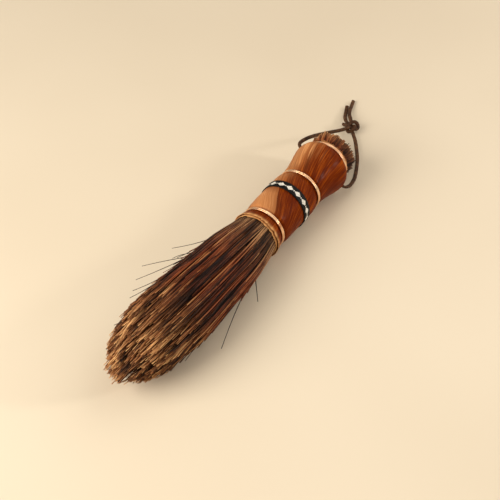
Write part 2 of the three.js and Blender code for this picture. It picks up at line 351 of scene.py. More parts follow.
def bristle_material():
    """Plant fibre: each strand has its own tone, which also holds painted shade deep in the head and
    painted light on the butt's lit side; it is paler towards its cut tip.
    """
    s = Surface("bristle fibre", Specular_IOR_Level=0.2)
    tone, reach = s.value("tone"), s.value("reach")
    patches = s.noise(s.place((60, 260, 260)), detail=3)
    tone = s.math("ADD", tone, s.spread(patches, -0.16, 0.16))
    body = s.ramp(
        tone,
        (0.0, shade(24, 11, 7)),
        (0.3, shade(62, 29, 15)),
        (0.55, shade(118, 54, 26)),
        (0.8, shade(156, 80, 40)),
        (1.0, shade(200, 138, 84)),
    )
    root = s.ramp(tone, (0.0, shade(22, 14, 8)), (0.48, shade(86, 55, 31)), (1.0, shade(184, 142, 98)))
    tip = s.ramp(tone, (0.0, shade(50, 28, 15)), (0.45, shade(160, 102, 58)), (1.0, shade(246, 194, 130)))
    near_root = s.range(reach, 0.0, 0.32, 1.0, 0.0)
    near_tip = s.range(reach, 0.55, 0.98)
    colour = s.mix(near_root, body, root)
    colour = s.mix(near_tip, colour, tip)
    grain = s.noise(s.place((300, 2200, 2200)), detail=2)
    return s.finish(colour, s.spread(grain, 0.42, 0.68), grain, 0.25, 0.0002)


def painted_shade_fibre_material():
    """Fibre packed tight, near black as painted shade, with fine lengthwise streaks."""
    s = Surface("packed fibre", Roughness=0.85, Specular_IOR_Level=0.25)
    streaks = s.noise(s.place((90, 1500, 1500)))
    colour = s.ramp(streaks, (0.3, shade(14, 8, 6)), (0.7, shade(40, 23, 15)))
    return s.finish(colour, bump=streaks, strength=0.6, depth=0.0005)


def bark_material(name, dark, middle, light, gloss):
    """Bark with streaks along the handle, in a UV map of turn and length.

    It is tan where the mesh's "pale" value is high, which also holds painted light on the lit side, and
    bare where its "edge" value is.
    """
    s = Surface(name, Coat_Weight=gloss, Coat_Roughness=0.16, Specular_IOR_Level=0.03)
    fine = s.noise(s.place((190, 4.5, 1), "UV"), detail=5, roughness=0.62)
    broad = s.noise(s.place((16, 2.6, 1), "UV"), detail=3)
    both = s.math("ADD", s.math("MULTIPLY", fine, 0.6), s.math("MULTIPLY", broad, 0.4))
    colour = s.ramp(both, (0.3, dark), (0.5, middle), (0.68, light))
    pale = s.ramp(fine, (0.3, shade(188, 116, 62)), (0.7, shade(232, 166, 108)))
    colour = s.mix(s.value("pale"), colour, pale)
    colour = s.mix(s.value("edge"), colour, shade(222, 166, 106))
    return s.finish(colour, s.spread(fine, 0.3, 0.5), both, 0.35, 0.0005)


def copper_material():
    """Bright copper wire with fine drawing lines and a little tarnish."""
    s = Surface("copper wire", Metallic=1.0)
    lines = s.noise(s.place((900, 900, 900)), detail=3)
    tarnish = s.noise(s.place((160, 160, 160)), detail=3)
    colour = s.ramp(tarnish, (0.35, shade(232, 172, 124)), (0.65, shade(255, 222, 184)))
    return s.finish(colour, s.spread(lines, 0.27, 0.33), lines, 0.015, 0.0001)


LOZENGES = 17.0  # round the whole label
LOZENGE_SIZE = 0.72
DOT_SIZE = 0.008


def paper_material():
    """Black coated paper with a plain row of lozenges and dots."""
    s = Surface("label paper", Coat_Weight=0.05, Coat_Roughness=0.3, Specular_IOR_Level=0.1)
    uv = s.node("ShaderNodeSeparateXYZ", {0: s.place((1, 1, 1), "UV")}).outputs
    cell = s.math("SUBTRACT", s.math("FRACT", s.math("MULTIPLY", uv[0], LOZENGES)), 0.5)
    across = s.math("ABSOLUTE", cell)
    height = s.math("ABSOLUTE", s.math("SUBTRACT", uv[1], 0.5))
    reach = s.math("ADD", s.math("MULTIPLY", across, 1.7), s.math("MULTIPLY", height, 2.6))
    lozenge = s.math("LESS_THAN", reach, LOZENGE_SIZE)
    gap = s.math("MULTIPLY", s.math("SUBTRACT", 0.5, across), 1.6)
    distance = s.math("ADD", s.math("POWER", gap, 2.0), s.math("POWER", height, 2.0))
    dot = s.math("LESS_THAN", distance, DOT_SIZE)
    ink = s.math("MAXIMUM", lozenge, dot)
    worn = s.noise(s.place((700, 700, 700)), detail=3)
    ink = s.math("MULTIPLY", ink, s.range(worn, 0.3, 0.5, 0.35, 1.0))
    fibres = s.noise(s.place((1400, 1400, 1400)))
    black = s.ramp(fibres, (0.3, shade(6, 5, 6)), (0.75, shade(22, 19, 19)))
    colour = s.mix(ink, black, shade(232, 226, 214))
    return s.finish(colour, s.spread(fibres, 0.38, 0.6), fibres, 0.2, 0.0001)


def lace_material():
    """Dark brown waxed leather lace: pores, creases and paler rubbed places."""
    s = Surface("lace", Specular_IOR_Level=0.2)
    pores = s.noise(s.place((1800, 1800, 1800)))
    rubbed = s.noise(s.place((260, 260, 260)), detail=3)
    both = s.math("ADD", s.math("MULTIPLY", pores, 0.45), s.math("MULTIPLY", rubbed, 0.55))
    colour = s.ramp(both, (0.34, shade(34, 19, 9)), (0.52, shade(78, 48, 26)), (0.7, shade(132, 92, 58)))
    return s.finish(colour, s.spread(pores, 0.45, 0.75), pores, 0.5, 0.0002)


def twine_material():
    """Pale twine with coarse fibres."""
    s = Surface("twine", Roughness=0.9)
    strands = s.noise(s.place((500, 900, 900)))
    colour = s.ramp(strands, (0.3, shade(120, 92, 58)), (0.7, shade(190, 160, 112)))
    return s.finish(colour, bump=strands, strength=0.8, depth=0.0004)


def floor_material():
    """A plain pale floor, with hardly any change of tone."""
    s = Surface("floor", Roughness=0.75)
    tone = s.noise(s.place((3, 3, 3)), detail=2)
    return s.finish(s.ramp(tone, (0.3, shade(226, 210, 184)), (0.7, shade(234, 219, 194))))


BRISTLE = bristle_material()
PAINTED_SHADE_FIBRE = painted_shade_fibre_material()
BARK = bark_material("varnished bark", shade(52, 14, 0), shade(104, 34, 0), shade(178, 86, 12), 0.02)
INNER_BARK = bark_material("inner bark", shade(110, 58, 24), shade(168, 98, 48), shade(206, 142, 86), 0.1)
COPPER = copper_material()
PAPER = paper_material()
LACE = lace_material()
TWINE = twine_material()

# ---- Lace: two branches, a knot and two tails ----
HOLE_X = 79.5
HOLE_TILT = math.radians(28)
LOOP_DROP = math.radians(16.5)
LOOP_EXIT = 19.5  # from the axis to where each branch starts, inside the hole
LACE_WIDTH = 3.0
LACE_THICKNESS = 2.1
LACE_STEPS = 8  # points of the path for each span of the route
LACE_SQUARENESS = 0.7
TABLE_GAP = 0.05  # the lace stays this far above the table

# The same routes as the CAD cord, in the loop's own plane: [along the loop, across it].
LEFT_BRANCH = [
    (0, LOOP_EXIT), (0.1, 20.7), (0.6, 22.1), (1.8, 23.4), (4, 24.1), (7.5, 24.2), (12, 23.7),
    (17, 22.9), (24, 21.2), (33, 18.4), (45.5, 14.2), (58, 9.8), (67.8, 7.0),
]
RIGHT_BRANCH = [
    (0, -LOOP_EXIT), (0.1, -20.6), (0.8, -22.2), (2.2, -23.8), (4.8, -25.0), (9, -25.6), (15, -25.3),
    (21.5, -24.2), (31.3, -21.2), (43.5, -16.4), (54, -10.7), (63, -4.8), (68.7, 0.2),
]
LONG_TAIL = [
    (156.5, 17.7, 5.5), (160.3, 20.6, 5.3), (165, 24.2, 4.6), (171, 27.2, 3.2), (178, 29.8, 2.0),
    (185.7, 32.3, 1.6),
]
SHORT_TAIL = [
    (154.3, 19.9, 4.9), (157.4, 23.2, 4.1), (162.8, 26.9, 2.5), (169.5, 29.9, 1.7), (176.5, 33.0, 1.6),
]
KNOT_CENTRE = np.array([151.3, 14.8, 5.4])
KNOT_TURN = math.radians(-56)
KNOT_POINTS = 96
KNOT_SCALE = np.array([2.15, 1.65, 2.2])  # along the knot, across it and upward
KNOT_WIDTH = 2.9
KNOT_THICKNESS = 2.3
KNOT_STRAND_SIZE = 0.9  # of the knot's own section, where a strand goes in
KNOT_STRAND_REACH = 0.75  # of the way from a strand's end to the middle of the knot
KNOT_STRAND_POINTS = 10

HOLE_CENTRE = np.array([HOLE_X, 0.0, AXIS_HEIGHT])
HOLE_DIRECTION = np.array([0.0, math.cos(HOLE_TILT), math.sin(HOLE_TILT)])
LOOP_DIRECTION = np.array([
    math.cos(LOOP_DROP),
    math.sin(LOOP_DROP) * math.sin(HOLE_TILT),
    -math.sin(LOOP_DROP) * math.cos(HOLE_TILT),
])


def lace_section(width, thickness):
    return outline((width / 2, thickness / 2), LACE_SQUARENESS, shift=0.5)


def loop_points(branch):
    return np.array([HOLE_CENTRE + LOOP_DIRECTION * a + HOLE_DIRECTION * b for a, b in branch])


def add_lace(name, points, rolls, hint):
    """A strap along a route. `rolls` are its turns in degrees, evenly spread from end to end."""
    path = catmull_rom(points, LACE_STEPS)
    share, roll_shares = np.linspace(0, 1, len(path)), np.linspace(0, 1, len(rolls))
    turns = np.interp(share, roll_shares, np.radians(rolls))
    shape, faces = sweep(path, lace_section(LACE_WIDTH, LACE_THICKNESS), hint, turns)
    shape[:, 2] = np.maximum(shape[:, 2], TABLE_GAP)
    return add_piece(name, shape, faces, LACE), path


def knot_ring():
    """Points and faces of the knot: a trefoil pulled flat, whose tube closes on itself."""
    turns = np.linspace(0, 2 * np.pi, KNOT_POINTS + 1)[:-1]
    lobes = np.column_stack([
        np.sin(turns) + 2 * np.sin(2 * turns),
        np.cos(turns) - 2 * np.cos(2 * turns),
        -np.sin(3 * turns),
    ])
    c, s = math.cos(KNOT_TURN), math.sin(KNOT_TURN)
    path = (lobes * KNOT_SCALE) @ np.array([[c, s, 0], [-s, c, 0], [0, 0, 1.0]]) + KNOT_CENTRE
    section = lace_section(KNOT_WIDTH, KNOT_THICKNESS)
    forward = unit(np.roll(path, -1, 0) - np.roll(path, 1, 0))
    outward = path - KNOT_CENTRE
    side = unit(outward - forward * (outward * forward).sum(1, keepdims=True))
    up = np.cross(forward, side)
    points = path[:, None] + section[:, :1] * side[:, None] + section[:, 1:] * up[:, None]
    faces = grid_faces(KNOT_POINTS + 1, SECTION_POINTS) % (KNOT_POINTS * SECTION_POINTS)
    return points.reshape(-1, 3), faces.tolist()


def strand_into_knot(end):
    """Points and faces of a strand that runs from its end outside the knot into it."""
    share = np.linspace(0, KNOT_STRAND_REACH, KNOT_STRAND_POINTS)[:, None]
    path = end + share * (KNOT_CENTRE - end)
    return sweep(path, lace_section(KNOT_WIDTH, KNOT_THICKNESS) * KNOT_STRAND_SIZE, UP)


def add_knot():
    """An overhand knot of both branches, with the strands that go into it."""
    ends = [loop_points(LEFT_BRANCH)[-1], loop_points(RIGHT_BRANCH)[-1], LONG_TAIL[0], SHORT_TAIL[0]]
    strands = [strand_into_knot(np.array(end)) for end in ends]
    points, faces = joined([knot_ring(), *strands])
    points[:, 2] = np.maximum(points[:, 2], TABLE_GAP)
    return add_piece("lace_knot", points, faces, LACE)


left_hint, right_hint = HOLE_DIRECTION + UP, UP + LOOP_DIRECTION
left_lace, left_path = add_lace("lace_left", loop_points(LEFT_BRANCH), (0, 60, 90, 90), left_hint)
right_lace, right_path = add_lace("lace_right", loop_points(RIGHT_BRANCH), (0, 0, 10, 30), right_hint)
long_tail, _ = add_lace("lace_tail_long", LONG_TAIL, (0, 20), UP)
short_tail, _ = add_lace("lace_tail_short", SHORT_TAIL, (10, 0), UP)
knot = add_knot()
for piece, node in (
    (left_lace, "cord_left"),
    (right_lace, "cord_right"),
    (knot, "cord_knot"),
    (long_tail, "cord_tail_long"),
    (short_tail, "cord_tail_short"),
):
    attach(piece, "cord")
    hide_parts(node)

# ---- Sheets round the handle ----


def off_axis(points):
    """Distances of points from the handle's axis."""
    return np.hypot(points[:, 1], points[:, 2] - AXIS_HEIGHT)


def handle_points(x, radius, turn):
    """Points round the handle's axis; the turn goes from +y towards +z."""
    return stacked(x, radius * np.cos(turn), AXIS_HEIGHT + radius * np.sin(turn))


def share_grid(rows, columns):
    """Shares from 0 to 1 along a sheet, as a column, and round it, as a row."""
    return np.linspace(0, 1, rows)[:, None], np.linspace(0, 1, columns)[None]


def two_sided(x, outer, thickness, turn):
    """Points and faces of a sheet round the handle: outside, inside and four edges."""
    layers = [handle_points(x, radius, turn) for radius in (outer, outer - thickness)]
    rows, columns = layers[0].shape[:2]
    side = rows * columns
    outside = grid_faces(rows, columns, closed=False)
    start = np.arange(rows - 1) * columns
    end = start + columns - 1
    front = np.arange(columns - 1)
    back = front + (rows - 1) * columns
    faces = [
        outside,
        outside[:, ::-1] + side,
        np.stack([start, start + columns, start + columns + side, start + side], -1),
        np.stack([end, end + side, end + columns + side, end + columns], -1),
        np.stack([front, front + side, front + 1 + side, front + 1], -1),
        np.stack([back, back + 1, back + 1 + side, back + side], -1),
    ]
    points = np.concatenate([layer.reshape(-1, 3) for layer in layers])
    return points, np.concatenate(faces).tolist()


def two_sided_uv(across, along):
    """The same UV map for the outside and the inside of a sheet."""
    return np.tile(stacked(across, along).reshape(-1, 2), (2, 1))


def between(rows, count):
    """`count` rows, evenly spread from the first row to the last, with eased steps between them."""
    places = np.linspace(0, len(rows) - 1, count)
    low = np.minimum(places.astype(int), len(rows) - 2)
    share = eased(places - low)[:, None]
    return rows[low] * (1 - share) + rows[low + 1] * share


def stretched_noise(rng, rows, columns, row_cells, column_cells):
    """Smooth random grid from -1 to 1 whose cells are long in one direction; columns wrap round."""
    cells = rng.uniform(-1, 1, (row_cells, column_cells))
    cells = np.hstack([cells, cells[:, :1]])
    return between(between(cells.T, columns).T, rows)


# ---- Bark ----
SHEATH_RINGS = [(ring[:, 0].mean(), off_axis(ring).max()) for ring in rings_of("bark_outer", 300)]
sheath_radius = smooth_curve(*zip(*SHEATH_RINGS))
SHEATH_START, SHEATH_END = SHEATH_RINGS[0][0], SHEATH_RINGS[-1][0]
WIRES = {
    "front_wire": "binding_front",
    "middle_wire": "binding_middle",
    "rear_wire": "binding_rear",
}


def middle_x(node):
    low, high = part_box(node)
    return ((low.x + high.x) / 2 - SHIFT[0]) / MM


WIRE_PLACES = [middle_x(node) for node in WIRES]
BARK_STATIONS = 170
BARK_COLUMNS = 240
LAP_TURN = math.radians(16)
LAP_LIFT = 0.28
# Where the outer bark's seam is along x, in degrees from +y towards +z.
SEAM_TURN = smooth_curve([-10, 0, 18, 48, 70, 95], [103, 101, 75, 36, 16, 8])
LIT_TURN = 42  # the middle of the bark's painted lit side, in the same degrees
STROKES_TURN = 62  # the middle of the pommel's pale strokes, kept to its lit side


class Sheet(NamedTuple):
    """One sheet of bark. Lengths are in millimetres."""

    name: str
    start: float  # x of its rim at the mouth
    end: float
    depth: float  # of its outside, under the outer bark's
    thickness: float
    seed: int
    seam_shift: float  # radians from the outer bark's seam
    ragged: float  # how far its rims wander along x
    material: bpy.types.Material
    cad_node: str
    slot: str


def bark_noise(rng, row_cells, column_cells):
    return stretched_noise(rng, BARK_STATIONS, BARK_COLUMNS, row_cells, column_cells)


def bark_stations(sheet, rng, share_x):
    """x of each point, with ragged rims."""
    frayed = stretched_noise(rng, 2, BARK_COLUMNS, 2, 46)
    frayed = frayed + 0.6 * stretched_noise(rng, 2, BARK_COLUMNS, 2, 110)
    x = sheet.start + (sheet.end - sheet.start) * share_x
    return x + frayed[:1] * sheet.ragged * (1 - share_x) ** 8 + frayed[1:] * sheet.ragged * share_x**8


def bark_radius(sheet, rng, x, share_turn, ridges):
    """Distance of the sheet's outside from the axis, with pleats where the wires pinch it."""
    pleats = bark_noise(rng, 4, 34)
    pinch = sum(hump(x, place, 4.2) for place in WIRE_PLACES)
    slow = bark_noise(rng, 5, 7)
    lap = eased(rise(share_turn, 0.9, 0.07)) * LAP_LIFT
    radius = sheath_radius(x) - sheet.depth + 0.13 * ridges + 0.2 * slow + lap
    return radius + 0.26 * pleats * np.clip(pinch, 0, 1) * (1 - 0.6 * pinch)


def bark_wall(sheet, share_x, share_turn):
    """The sheet's thickness, less at the mouth's rim and at the outer end of the lap."""
    rim = 1 - 0.55 * (1 - share_x) ** 12
    lap_end = 1 - 0.5 * eased(rise(share_turn, 0.93, 0.07))
    return sheet.thickness * rim * lap_end


def bark_edge(sheet, rng, x):
    """How worn the bark is at its two rims."""
    worn = hump(x, sheet.start, 1.7) + 0.7 * hump(x, sheet.end, 0.6)
    return np.clip(worn * (0.75 + 0.4 * bark_noise(rng, 3, 60)), 0, 1)


def bark_pale(rng, x, turn, share_turn, ridges):
    """How pale the bark is: by its seam, with painted light on its lit side, and in strokes on the pommel
    that are painted on that side only.
    """
    before_seam = share_turn + 0.02 * bark_noise(rng, 9, 30)
    seam = eased(rise(before_seam, 0.76, 0.1)) * (0.85 - 0.4 * rise(share_turn, 0.9, 0.1))
    seam = seam + 0.3 * np.exp(-share_turn / 0.03)
    seam = seam * rise(x, 1, 2) * (1 - rise(x, 18, 12))
    side = (np.degrees(turn) + 180) % 360 - 180
    # Painted light: from the label backwards, the bark is painted paler on the side that faces the key
    # lamp.
    painted_lit_side = 0.68 * rise(x, 26, 8) * hump(side, LIT_TURN, 33)
    # The pale strokes follow the pommel's ridges, which are its own streaks, but are kept to the lit side
    # as a painted highlight.
    strokes = 0.75 * np.clip(1.6 * ridges, 0, 1) * rise(x, WIRE_PLACES[1] + 2, 8)
    strokes = strokes * hump(side, STROKES_TURN, 34)
    return np.clip(np.maximum(seam, painted_lit_side + strokes), 0, 1)


def add_bark(sheet):
    """A sheet wrapped a full turn and a lap round the bundle, with its ridges and pleats."""
    rng = np.random.default_rng(sheet.seed)
    share_x, share_turn = share_grid(BARK_STATIONS, BARK_COLUMNS)
    x = bark_stations(sheet, rng, share_x)
    turn = np.radians(SEAM_TURN(x)) + sheet.seam_shift + (2 * np.pi + LAP_TURN) * share_turn
    ridges = 0.55 * bark_noise(rng, 7, 70) + 0.45 * bark_noise(rng, 10, 118)
    radius = bark_radius(sheet, rng, x, share_turn, ridges)
    points, faces = two_sided(x, radius, bark_wall(sheet, share_x, share_turn), turn)
    points[:, 2] = np.maximum(points[:, 2], 0.0)
    grids = {"edge": bark_edge(sheet, rng, x), "pale": bark_pale(rng, x, turn, share_turn, ridges)}
    values = {label: np.tile(grid.ravel(), 2) for label, grid in grids.items()}
    uv = two_sided_uv(share_turn, x / 100)
    piece = add_piece(sheet.name, points, faces, sheet.material, values, uv)
    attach(piece, "handle")
    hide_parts(sheet.cad_node)


add_bark(Sheet(
    "bark_wrap", SHEATH_START + 0.2, SHEATH_END - 0.9, depth=0.0, thickness=0.9, seed=11,
    seam_shift=0.0, ragged=0.45, material=BARK, cad_node="bark_outer", slot="varnished_bark",
))
add_bark(Sheet(
    "bark_lining", SHEATH_START - 1.3, SHEATH_END - 0.5, depth=1.2, thickness=0.8, seed=12,
    seam_shift=math.pi, ragged=0.4, material=INNER_BARK, cad_node="bark_inner", slot="inner_bark",
))

# ---- Wires ----
WIRE_RING = 17.0  # distance of the wire's middle from the handle's axis
WIRE_BOTTOM = -0.5 * np.pi  # the turn under the handle
WIRE_STEPS = 192
WIRE_HALF_SIZES = (0.5, 0.64)
WIRE_SQUARENESS = 0.8
BINDING_TURNS = 2
BINDING_WIDTH = 2.5  # along x, from the wire's one end to its other
TWIST_HALF_SIZES = (0.476, 0.476)
TWIST_POINTS = 40
TWIST_TURNS = 2.5
TWIST_REACH = 0.42  # of each wire's middle from the twist's own axis
TWIST_BEND = 0.45  # how far round the handle the twist goes, in radians
TWIST_X = 1.9  # of the twist from the middle of the binding
TWIST_LIFT = 0.35


def add_binding(node, name):
    """Two turns of wire whose twisted ends are tucked flat beside them."""
    place = middle_x(node)
    share = np.linspace(0, 1, WIRE_STEPS + 1)
    turn = WIRE_BOTTOM + 2 * np.pi * BINDING_TURNS * share
    path = handle_points(place + (share - 0.5) * BINDING_WIDTH, WIRE_RING, turn)
    coil = sweep(path, outline(WIRE_HALF_SIZES, WIRE_SQUARENESS), ALONG)
    points, faces = joined([coil, *wire_twist(place)])
    piece = add_piece(name, points, faces, COPPER)
    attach(piece, "handle")
    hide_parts(node)


def wire_twist(place):
    """The two ends twisted round each other and bent along the turns, under the handle."""
    share = np.linspace(0, 1, TWIST_POINTS)
    ends = []
    for phase in (0, np.pi):
        spin = 2 * np.pi * TWIST_TURNS * share + phase
        x = place + TWIST_X + TWIST_REACH * np.cos(spin)
        radius = WIRE_RING + TWIST_LIFT + TWIST_REACH * np.sin(spin)
        path = handle_points(x, radius, WIRE_BOTTOM + TWIST_BEND * share)
        ends.append(sweep(path, outline(TWIST_HALF_SIZES, 1), ALONG))
    return ends


for node, name in WIRES.items():
    add_binding(node, name)

# ---- Label ----
LABEL_ROWS = 9
LABEL_COLUMNS = 220
LABEL_START_TURN = math.radians(250)
LABEL_LAP = 0.05  # of a full turn
LABEL_LAP_LIFT = 0.25
LABEL_LIFT = 0.72  # of its outside from the bark
LABEL_THICKNESS = 0.45


def add_label():
    """A paper band whose end laps over its start under the handle."""
    low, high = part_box("label_band")
    start, end = (low.x - SHIFT[0]) / MM, (high.x - SHIFT[0]) / MM
    share_x, share_turn = share_grid(LABEL_ROWS, LABEL_COLUMNS)
    x = start + (end - start) * share_x
    turn = LABEL_START_TURN + 2 * np.pi * (1 + LABEL_LAP) * share_turn
    creases = stretched_noise(np.random.default_rng(21), LABEL_ROWS, LABEL_COLUMNS, 3, 26)
    lift = eased(rise(share_turn, 0.93, 0.04)) * LABEL_LAP_LIFT
    outer = sheath_radius(x) + LABEL_LIFT + 0.05 * creases + lift
    points, faces = two_sided(x, outer, LABEL_THICKNESS, turn)
    piece = add_piece("paper_band", points, faces, PAPER, uv=two_sided_uv(share_turn, share_x))
    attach(piece, "handle")
    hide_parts("label_band")


add_label()

# ---- Bristles ----
CORE_SHARE = 0.5  # the core hank's share of the bundle's radius
CORE_GAP = 0.3
CORE_RINGS = rings_of("bristle_core", 60)
CORE_X = [ring[:, 0].mean() for ring in CORE_RINGS]
core_y = smooth_curve(CORE_X, [ring[:, 1].mean() for ring in CORE_RINGS])
core_z = smooth_curve(CORE_X, [ring[:, 2].mean() for ring in CORE_RINGS])
CORE_RADII = [np.hypot(ring[:, 1] - ring[:, 1].mean(), ring[:, 2] - ring[:, 2].mean()).mean()
              for ring in CORE_RINGS]
HEAD_RADII = [(radius + CORE_GAP) / CORE_SHARE for radius in CORE_RADII]
HEAD_TIP = cad_points("bristle_core")[:, 0].min()
MOUTH_X = -6.0
MOUTH_RADIUS = 16.3
head_radius = smooth_curve(
    [HEAD_TIP, *CORE_X[:-1], SHEATH_START, MOUTH_X + 2],
    [0.6 * HEAD_RADII[0], *HEAD_RADII[:-1], MOUTH_RADIUS + 0.6, MOUTH_RADIUS],
)
WIDEST_X = CORE_X[int(np.argmax(CORE_RADII))]
WIDEST = max(HEAD_RADII)
FREE_END_RADIUS = 23.0  # how far apart the fibres stay where the cut tips close in
FIBRE_RINGS = 14
FIBRE_SIDES = 4
OUTER_FIBRES = 2900
OUTER_START = 0.74  # share of the bundle's radius at which the outer fibres begin
INNER_FIBRES = 2300  # drawn over the whole bundle, and kept only inside the outer ones
INNER_END = 0.76
LOWEST_TONE = 0.02


class Bundle(NamedTuple):
    """Where fibres, strands and locks start, in shares of the bundle's radius, and what is in which."""

    disc: np.ndarray
    strands: np.ndarray
    locks: np.ndarray
    strand_of: np.ndarray
    lock_of: np.ndarray


def free_radius(x):
    """Radius of the fan of fibres, before its tips are cut to shape."""
    beyond = rise(WIDEST_X - x, 0, WIDEST_X - HEAD_TIP)
    return np.where(x > WIDEST_X, head_radius(x), WIDEST + (FREE_END_RADIUS - WIDEST) * beyond)


def spread_centres(rng, count, inner):
    """Points over the disc outside `inner`, evenly thick."""
    radius = np.sqrt(rng.uniform(inner**2, 1, count))
    angle = rng.uniform(0, 2 * np.pi, count)
    return np.column_stack([radius * np.cos(angle), radius * np.sin(angle)])


def nearest(points, centres):
    return np.linalg.norm(points[:, None] - centres[None], axis=2).argmin(1)


def bristle_bundle(rng):
    outer = spread_centres(rng, OUTER_FIBRES, OUTER_START)
    inner = spread_centres(rng, INNER_FIBRES, 0.0)
    inner = inner[np.linalg.norm(inner, axis=1) < INNER_END]
    disc = np.vstack([outer, inner])
    locks = np.vstack([spread_centres(rng, 42, 0.72), spread_centres(rng, 16, 0.1) * 0.7])
    outer_strands = spread_centres(rng, 250, OUTER_START)
    strands = np.vstack([outer_strands, spread_centres(rng, 130, 0.0) * OUTER_START])
    return Bundle(disc, strands, locks, nearest(disc, strands), nearest(disc, locks))


def hanks(part, disc):
    """The CAD node of each hank, with a mask of its fibres. The bundle's middle is the last one."""
    sector = 2 * np.pi / HANK_COUNT
    turn = np.arctan2(disc[:, 1], disc[:, 0]) + np.pi / 2 + sector / 2
    hank = (turn // sector % HANK_COUNT).astype(int)
    hank[np.linalg.norm(disc, axis=1) < CORE_SHARE] = HANK_COUNT
    names = [f"{part}_hank_{index + 1}" for index in range(HANK_COUNT)] + [f"{part}_core"]
    return [(name, hank == index) for index, name in enumerate(names)]


def fibre_ends(rng, spread):
    """x at which each fibre is cut, where it would leave the trimmed outline."""
    xs = np.linspace(HEAD_TIP, WIDEST_X + 14, 400)
    room = head_radius(xs)[None] - spread[:, None] * free_radius(xs)[None]
    inside = room >= -0.15
    ends = xs[inside.argmax(1)] + rng.normal(0, 1.7, len(spread))
    short = rng.random(len(spread)) < np.where(spread > OUTER_START, 0.6, 0.12)
    ends[short] += 3 + 52 * rng.random(short.sum()) ** 1.6
    long = rng.random(len(spread)) < 0.05
    ends[long] -= rng.uniform(1, 4.5, long.sum())
    return np.maximum(ends, HEAD_TIP - 3)


def gathered(bundle, away):
    """Each fibre's place in the disc, drawn together into strands and the strands into locks."""
    disc = np.repeat(bundle.disc[:, None], FIBRE_RINGS, 1)
    to_strand = 0.15 + 0.6 * np.clip(away * 3, 0, 1) - 0.2 * away**3
    disc = disc + to_strand[..., None] * (bundle.strands[bundle.strand_of][:, None] - disc)
    to_lock = 0.42 * np.sin(np.pi * np.clip(away * 1.02, 0, 1) ** 0.8)
    return disc + to_lock[..., None] * (bundle.locks[bundle.lock_of][:, None] - disc)


def swayed(rng, bundle, away, disc):
    """The same places after the locks' and the strands' own leanings."""
    lock_sway = rng.normal(0, 1, (len(bundle.locks), 2))[bundle.lock_of][:, None]
    strand_sway = rng.normal(0, 1, (len(bundle.strands), 2))[bundle.strand_of][:, None]
    lock_phase = rng.uniform(0, 2 * np.pi, len(bundle.locks))[bundle.lock_of][:, None]
    drift = 0.03 * away * np.sin(away * 2.6 + lock_phase)
    disc = disc + drift[..., None] * lock_sway
    return disc + (0.02 * away + 0.045 * away**2)[..., None] * strand_sway


def waved(rng, away, disc):
    """The same places after each fibre's own waves and leaning."""
    count = len(disc)
    own = rng.normal(0, 1, (count, 2, 2))
    phase = rng.uniform(0, 2 * np.pi, (count, 1))
    wave = np.sin(away * rng.uniform(4, 12, (count, 1)) + phase)
    size = 0.012 * np.clip(away * 5, 0, 1) + 0.02 * away**2
    disc = disc + (size * wave)[..., None] * own[:, None, 0]
    return disc + (0.018 * away**2)[..., None] * own[:, None, 1]


def fibre_lines(rng, bundle):
    """Centre lines of the fibres, and how far each of their points looks to be from the mouth.

    That is 0 at the mouth and 1 at the head's tip. It also rises at the cut ends of short fibres.
    """
    ends = fibre_ends(rng, np.linalg.norm(bundle.disc, axis=1))
    share = np.linspace(0, 1, FIBRE_RINGS)[None] ** 0.9
    x = MOUTH_X + (ends[:, None] - MOUTH_X) * share
    away = rise(MOUTH_X - x, 0, MOUTH_X - HEAD_TIP)
    disc = waved(rng, away, swayed(rng, bundle, away, gathered(bundle, away)))
    proud = rng.normal(0, 0.025, len(bundle.strands))[bundle.strand_of][:, None]
    flick = share**6 * rng.random((len(x), 1)) ** 2
    radius = free_radius(x) * (1 + proud * np.clip(away * 4, 0, 1)) * (1 + 0.12 * flick)
    offset = radius[..., None] * disc
    limit = np.maximum(head_radius(x) + 0.7 + 2.8 * flick, 1.0)[..., None]
    size = np.linalg.norm(offset, axis=2, keepdims=True)
    offset = offset * np.minimum(1, limit / np.maximum(size, 1e-6))
    reach = np.maximum(away, np.clip(away * 1.5 - 0.16, 0, 1) * 0.95 * share**7)
    return stacked(x, core_y(x) + offset[..., 0], core_z(x) + offset[..., 1]), reach


def fibre_tone(rng, bundle, reach):
    """Each point's tone: its strand's, its lock's and its own, darker where it lies deep, as painted
    shade.
    """
    strand_tone = rng.normal(0, 0.19, len(bundle.strands))[bundle.strand_of]
    group_tone = strand_tone + rng.normal(0, 0.1, len(bundle.locks))[bundle.lock_of]
    own_tone = rng.normal(0, 0.2, len(reach))[:, None] * (1 + 0.65 * np.clip(1 - 2.5 * reach, 0, 1))
    tone = 0.36 + own_tone + group_tone[:, None] * np.clip(0.2 + 2 * reach, 0, 1)
    # Painted shade: fibres deep in the bundle are darker and the outer ones a little lighter, less so
    # towards the tips.
    depth = np.clip(np.linalg.norm(bundle.disc, axis=1) - 0.88, -0.3, 1)[:, None]
    tone = tone + 0.9 * depth * np.clip(1.3 - 1.3 * reach**3, 0, 1) + 0.13 * reach**8
    return np.clip(tone, LOWEST_TONE, 1)


def bend_with_head(piece):
    """Bakes the piece's transform into its mesh."""
    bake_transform(piece)


def add_bristles():
    rng = np.random.default_rng(5)
    bundle = bristle_bundle(rng)
    lines, reach = fibre_lines(rng, bundle)
    taper = 1 - 0.25 * np.linspace(0, 1, FIBRE_RINGS) ** 3
    radii = rng.uniform(0.27, 0.46, (len(lines), 1)) * taper
    lines[..., 2] = np.maximum(lines[..., 2], radii + 0.02)
    tone = fibre_tone(rng, bundle, reach)
    for node, mine in hanks("bristle", bundle.disc):
        points, faces = tubes(lines[mine], radii[mine], FIBRE_SIDES, UP)
        values = {
            "tone": np.repeat(tone[mine].ravel(), FIBRE_SIDES),
            "reach": np.repeat(reach[mine].ravel(), FIBRE_SIDES),
        }
        piece = add_piece(node.replace("bristle", "fibres"), points, faces, BRISTLE, values)
        bend_with_head(piece)
        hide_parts(node)


